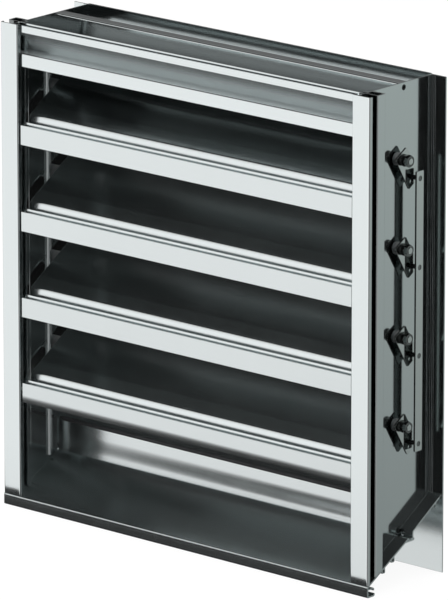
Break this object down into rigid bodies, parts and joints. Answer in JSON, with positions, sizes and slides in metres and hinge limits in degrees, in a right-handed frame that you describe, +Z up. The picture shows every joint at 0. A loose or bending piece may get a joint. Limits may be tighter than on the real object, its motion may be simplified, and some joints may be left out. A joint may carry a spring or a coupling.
{
  "type": "adjustable louver",
  "caption": "Rectangular aluminium louver with sloping drainable blades that turn together on axles, joined by crank levers and a tie bar outside the right jamb.",
  "frame": {"origin": "middle of the louver's width and depth, on the level that the sill's front lip and rear flange stand on", "axes": "+Z up, +Y from the weather side to the building side, +X towards the jamb that carries the levers"},
  "size_m": [0.646, 0.1524, 0.6737],
  "materials": {
    "aluminium": "mill finish extrusion, satin",
    "blade_aluminium": "mill finish extrusion, satin",
    "linkage_steel": "zinc plated sheet",
    "plated_steel": "zinc plated, turned",
    "seal_strip": "rolled stainless spring strip",
    "bushing_plastic": "moulded, matte",
    "seal_rubber": "extruded, matte"
  },
  "bodies": {
    "frame": {"left_jamb": "aluminium", "right_jamb": "aluminium", "left_jamb_seal": "seal_strip", "right_jamb_seal": "seal_strip", "sill_front": "aluminium", "sill_rear": "aluminium", "sill_seal": "seal_rubber", "head_front": "aluminium", "head_rear": "aluminium", "head_seal": "seal_rubber", "frame_screws": "plated_steel", "left_bushing_1": "bushing_plastic", "left_bushing_2": "bushing_plastic", "left_bushing_3": "bushing_plastic", "left_bushing_4": "bushing_plastic", "right_bushing_1": "bushing_plastic", "right_bushing_2": "bushing_plastic", "right_bushing_3": "bushing_plastic", "right_bushing_4": "bushing_plastic"},
    "turning_blade_1": {"blade_1": "blade_aluminium", "blade_seal_1": "seal_rubber", "drive_axle_1": "plated_steel", "idler_axle_1": "plated_steel", "crank_lever_1": "linkage_steel", "lock_washer_1": "plated_steel", "lever_nut_1": "plated_steel", "jam_nut_1": "plated_steel", "link_pin_1": "plated_steel"},
    "turning_blade_2": {"blade_2": "blade_aluminium", "blade_seal_2": "seal_rubber", "drive_axle_2": "plated_steel", "idler_axle_2": "plated_steel", "crank_lever_2": "linkage_steel", "lock_washer_2": "plated_steel", "lever_nut_2": "plated_steel", "jam_nut_2": "plated_steel", "link_pin_2": "plated_steel"},
    "turning_blade_3": {"blade_3": "blade_aluminium", "blade_seal_3": "seal_rubber", "drive_axle_3": "plated_steel", "idler_axle_3": "plated_steel", "crank_lever_3": "linkage_steel", "lock_washer_3": "plated_steel", "lever_nut_3": "plated_steel", "jam_nut_3": "plated_steel", "link_pin_3": "plated_steel"},
    "turning_blade_4": {"blade_4": "blade_aluminium", "blade_seal_4": "seal_rubber", "drive_axle_4": "plated_steel", "idler_axle_4": "plated_steel", "crank_lever_4": "linkage_steel", "lock_washer_4": "plated_steel", "lever_nut_4": "plated_steel", "jam_nut_4": "plated_steel", "link_pin_4": "plated_steel"},
    "link_bar": {"tie_bar": "linkage_steel"}
  },
  "joints": [
    {"name": "blade_1_pivot", "type": "hinge", "parent": "frame", "child": "turning_blade_1", "pos_m": [0, 0.0073, 0.572], "axis": [1, 0, 0], "range_deg": [0, 45]},
    {"name": "blade_2_pivot", "type": "hinge", "parent": "frame", "child": "turning_blade_2", "pos_m": [0, 0.0073, 0.4525], "axis": [1, 0, 0], "range_deg": [0, 45]},
    {"name": "blade_3_pivot", "type": "hinge", "parent": "frame", "child": "turning_blade_3", "pos_m": [0, 0.0073, 0.333], "axis": [1, 0, 0], "range_deg": [0, 45]},
    {"name": "blade_4_pivot", "type": "hinge", "parent": "frame", "child": "turning_blade_4", "pos_m": [0, 0.0073, 0.2135], "axis": [1, 0, 0], "range_deg": [0, 45]},
    {"name": "link_bar_pin", "type": "hinge", "parent": "turning_blade_1", "child": "link_bar", "pos_m": [0.318, 0.02875, 0.54504], "axis": [1, 0, 0], "range_deg": [-45, 0]}
  ],
  "couplings": [
    {"joint": "blade_2_pivot", "follows": "blade_1_pivot", "ratio": 1},
    {"joint": "blade_3_pivot", "follows": "blade_1_pivot", "ratio": 1},
    {"joint": "blade_4_pivot", "follows": "blade_1_pivot", "ratio": 1},
    {"joint": "link_bar_pin", "follows": "blade_1_pivot", "ratio": -1}
  ]
}
